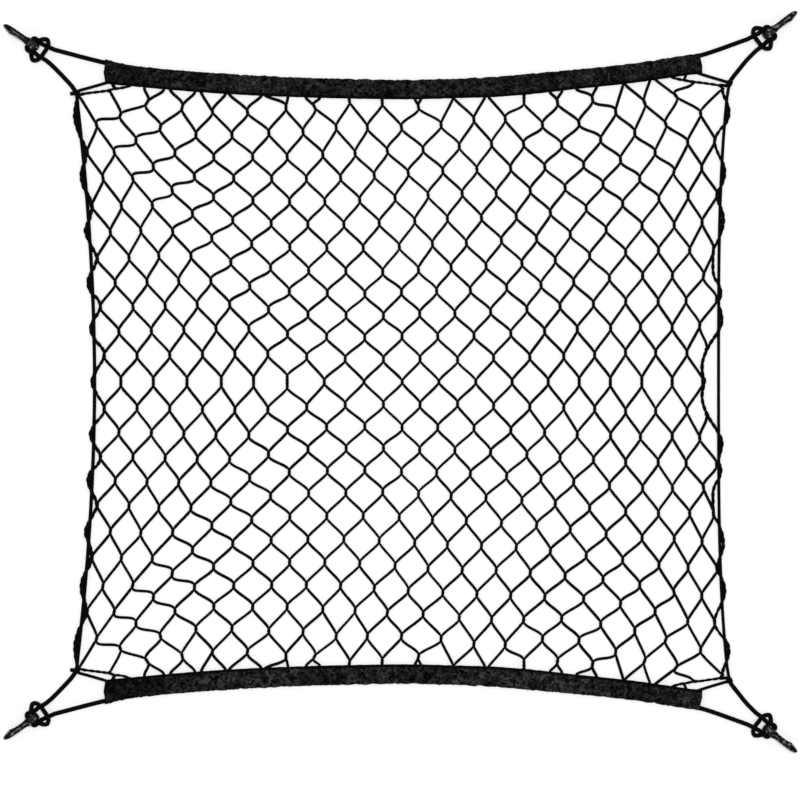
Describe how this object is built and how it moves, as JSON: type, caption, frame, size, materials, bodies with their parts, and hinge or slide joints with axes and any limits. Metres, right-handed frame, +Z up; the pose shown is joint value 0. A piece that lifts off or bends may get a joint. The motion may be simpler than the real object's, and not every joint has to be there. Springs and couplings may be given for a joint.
{
  "type": "elastic cargo net",
  "caption": "Black knotted elastic cargo net with cloth sleeves along two edges, elastic edge cords and a moulded hook at each corner, lying flat.",
  "frame": {"origin": "centre of the whole net's box, on the surface that it lies on", "axes": "+X along the sleeves, +Y towards the upper sleeve, +Z up from the surface"},
  "size_m": [0.873, 0.8136, 0.0195],
  "materials": {
    "twine": "matte knotted elastic twine",
    "sleeve_cloth": "matte brushed cloth",
    "elastic_cord": "braided elastic cord",
    "hook_plastic": "glossy moulded plastic"
  },
  "bodies": {
    "root": {"net": "twine", "sleeve_top": "sleeve_cloth", "sleeve_bottom": "sleeve_cloth", "border_cord_top": "elastic_cord", "border_cord_bottom": "elastic_cord", "side_cord_left": "elastic_cord", "side_cord_right": "elastic_cord", "inner_cord_top_left": "elastic_cord", "inner_cord_top_right": "elastic_cord", "inner_cord_bottom_left": "elastic_cord", "inner_cord_bottom_right": "elastic_cord", "corner_knot_top_left": "elastic_cord", "corner_knot_top_right": "elastic_cord", "corner_knot_bottom_left": "elastic_cord", "corner_knot_bottom_right": "elastic_cord", "hook_top_left": "hook_plastic", "hook_top_right": "hook_plastic", "hook_bottom_left": "hook_plastic", "hook_bottom_right": "hook_plastic"}
  },
  "joints": []
}
